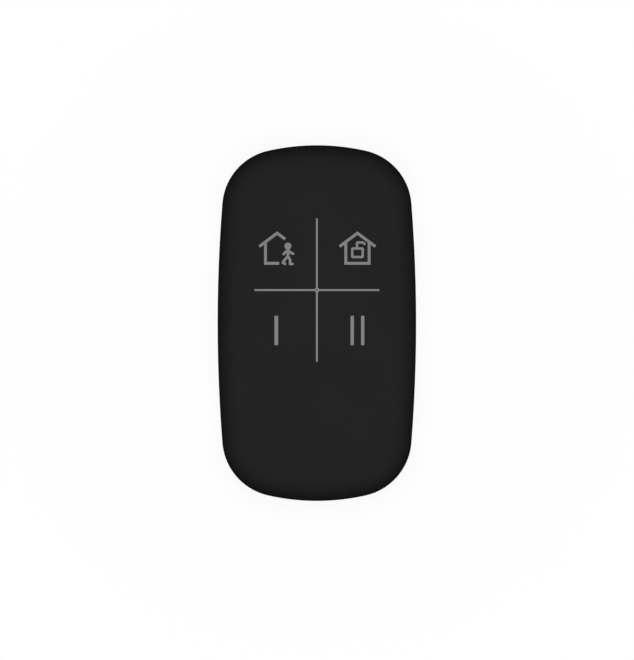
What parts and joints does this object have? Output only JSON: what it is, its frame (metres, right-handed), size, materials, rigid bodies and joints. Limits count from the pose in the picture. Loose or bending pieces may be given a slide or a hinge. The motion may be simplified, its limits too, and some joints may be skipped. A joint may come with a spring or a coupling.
{
  "type": "alarm key fob",
  "caption": "Pocket remote for an alarm: rounded black case, soft key face split by a thin cross, sprung keys with line symbols, coin-cell door and lanyard hole in the back.",
  "frame": {"origin": "centre of the flat back, on which the fob lies", "axes": "+Z out of the key face, +Y to the upper end of the keypad, +X to the right seen from the front"},
  "size_m": [0.0336, 0.06, 0.0116],
  "materials": {
    "soft_skin": "matte soft touch",
    "frame_plastic": "moulded",
    "shell_plastic": "fine texture",
    "stem_plastic": "moulded",
    "moulded_black": "moulded",
    "spring_steel": "bright",
    "screw_steel": "zinc plated",
    "board_green": "solder mask",
    "capacitor_tan": "fired",
    "copper": "plated track",
    "led_white": "moulded",
    "clear_guide": "clear acrylic",
    "cell_metal": "brushed can",
    "contact_gold": "plated spring",
    "seal_rubber": "smooth",
    "grey_ink": "printed film"
  },
  "bodies": {
    "housing": {"front_skin": "soft_skin", "front_frame": "frame_plastic", "rear_shell": "shell_plastic", "dome_away": "spring_steel", "dome_disarm": "spring_steel", "dome_one": "spring_steel", "dome_two": "spring_steel", "switch_bases": "moulded_black", "switch_covers": "spring_steel", "switch_terminals": "spring_steel", "circuit_board": "board_green", "board_screws": "screw_steel", "radio_chip": "moulded_black", "crystal": "spring_steel", "chip_capacitors": "capacitor_tan", "antenna_track": "copper", "status_led": "led_white", "light_guide": "clear_guide", "coin_cell": "cell_metal", "cell_holder": "moulded_black", "negative_contact": "contact_gold", "positive_contact": "contact_gold", "print_cross": "grey_ink"},
    "key_away": {"pad_away": "soft_skin", "plate_away": "frame_plastic", "stem_away": "stem_plastic", "print_away": "grey_ink"},
    "key_disarm": {"pad_disarm": "soft_skin", "plate_disarm": "frame_plastic", "stem_disarm": "stem_plastic", "print_disarm": "grey_ink"},
    "key_one": {"pad_one": "soft_skin", "plate_one": "frame_plastic", "stem_one": "stem_plastic", "print_one": "grey_ink"},
    "key_two": {"pad_two": "soft_skin", "plate_two": "frame_plastic", "stem_two": "stem_plastic", "print_two": "grey_ink"},
    "door": {"battery_door": "shell_plastic", "door_seal": "seal_rubber"}
  },
  "joints": [
    {"name": "press_away", "type": "slide", "parent": "housing", "child": "key_away", "axis": [0, 0, -1], "range_m": [0, 0.0003], "stiffness_N_per_m": 6667, "deforming": ["dome_away"]},
    {"name": "press_disarm", "type": "slide", "parent": "housing", "child": "key_disarm", "axis": [0, 0, -1], "range_m": [0, 0.0003], "stiffness_N_per_m": 6667, "deforming": ["dome_disarm"]},
    {"name": "press_one", "type": "slide", "parent": "housing", "child": "key_one", "axis": [0, 0, -1], "range_m": [0, 0.0003], "stiffness_N_per_m": 6667, "deforming": ["dome_one"]},
    {"name": "press_two", "type": "slide", "parent": "housing", "child": "key_two", "axis": [0, 0, -1], "range_m": [0, 0.0003], "stiffness_N_per_m": 6667, "deforming": ["dome_two"]},
    {"name": "door_turn", "type": "hinge", "parent": "housing", "child": "door", "pos_m": [0, -0.0115, 0], "axis": [0, 0, -1], "range_deg": [0, 45]}
  ]
}
